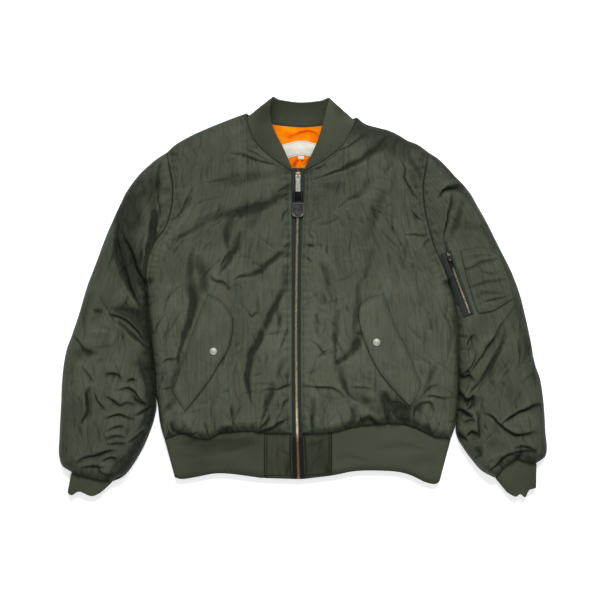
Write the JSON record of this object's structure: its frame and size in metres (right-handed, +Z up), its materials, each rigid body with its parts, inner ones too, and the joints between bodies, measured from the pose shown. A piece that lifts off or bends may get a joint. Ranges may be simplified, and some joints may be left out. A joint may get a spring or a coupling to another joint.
{
  "type": "bomber jacket",
  "caption": "Padded nylon bomber jacket laid flat with its zip closed: knit collar, cuffs and hem, slanted snap pockets and a zipped sleeve pocket.",
  "frame": {"origin": "on the floor under the middle of the jacket as it lies on its back", "axes": "+Z up out of the front of the jacket, +Y from hem to neck, +X towards the wearer's left sleeve"},
  "size_m": [0.9756, 0.7986, 0.045],
  "materials": {
    "shell_nylon": "matt sage-green nylon twill with a slight sheen, softly crinkled",
    "rib_knit": "fine rib knit in wool and polyester, matt",
    "lining_nylon": "bright orange nylon taffeta",
    "label_cloth": "cream woven label cloth, bare",
    "zip_tape": "dark slate twill tape",
    "brass": "antique brass",
    "nickel": "polished nickel, a little dulled",
    "black_leather": "black leather, satin",
    "grey_rubber": "moulded dark grey rubber"
  },
  "bodies": {
    "garment": {"back": "shell_nylon", "front_right": "shell_nylon", "front_left": "shell_nylon", "sleeve_right_top": "shell_nylon", "sleeve_right_under": "shell_nylon", "sleeve_left_top": "shell_nylon", "sleeve_left_under": "shell_nylon", "cuff_right": "rib_knit", "cuff_left": "rib_knit", "hem_rib": "rib_knit", "hem_end_right": "shell_nylon", "hem_end_left": "shell_nylon", "collar": "rib_knit", "lining_back": "lining_nylon", "label": "label_cloth", "size_tag": "label_cloth", "zip_tape_right": "zip_tape", "zip_tape_left": "zip_tape", "zip_chain": "brass", "zip_box": "brass", "zip_slider": "brass", "pocket_flap_right": "shell_nylon", "pocket_flap_left": "shell_nylon", "snap_right": "nickel", "snap_left": "nickel", "sleeve_pocket": "shell_nylon", "sleeve_zip_tape": "zip_tape", "sleeve_zip_chain": "brass", "sleeve_zip_slider": "brass"},
    "main_pull": {"zip_pull": "nickel", "pull_strap": "black_leather", "pull_grip": "grey_rubber"},
    "sleeve_pull": {"sleeve_zip_pull": "nickel"}
  },
  "joints": [
    {"name": "main_pull_hinge", "type": "hinge", "parent": "garment", "child": "main_pull", "pos_m": [-0.01, 0.23885, 0.03038], "axis": [-1, 0, 0], "range_deg": [0, 150]},
    {"name": "sleeve_pull_hinge", "type": "hinge", "parent": "garment", "child": "sleeve_pull", "pos_m": [0.2901, 0.07592, 0.04122], "axis": [-0.9471, -0.3209, 0], "range_deg": [0, 150]}
  ]
}
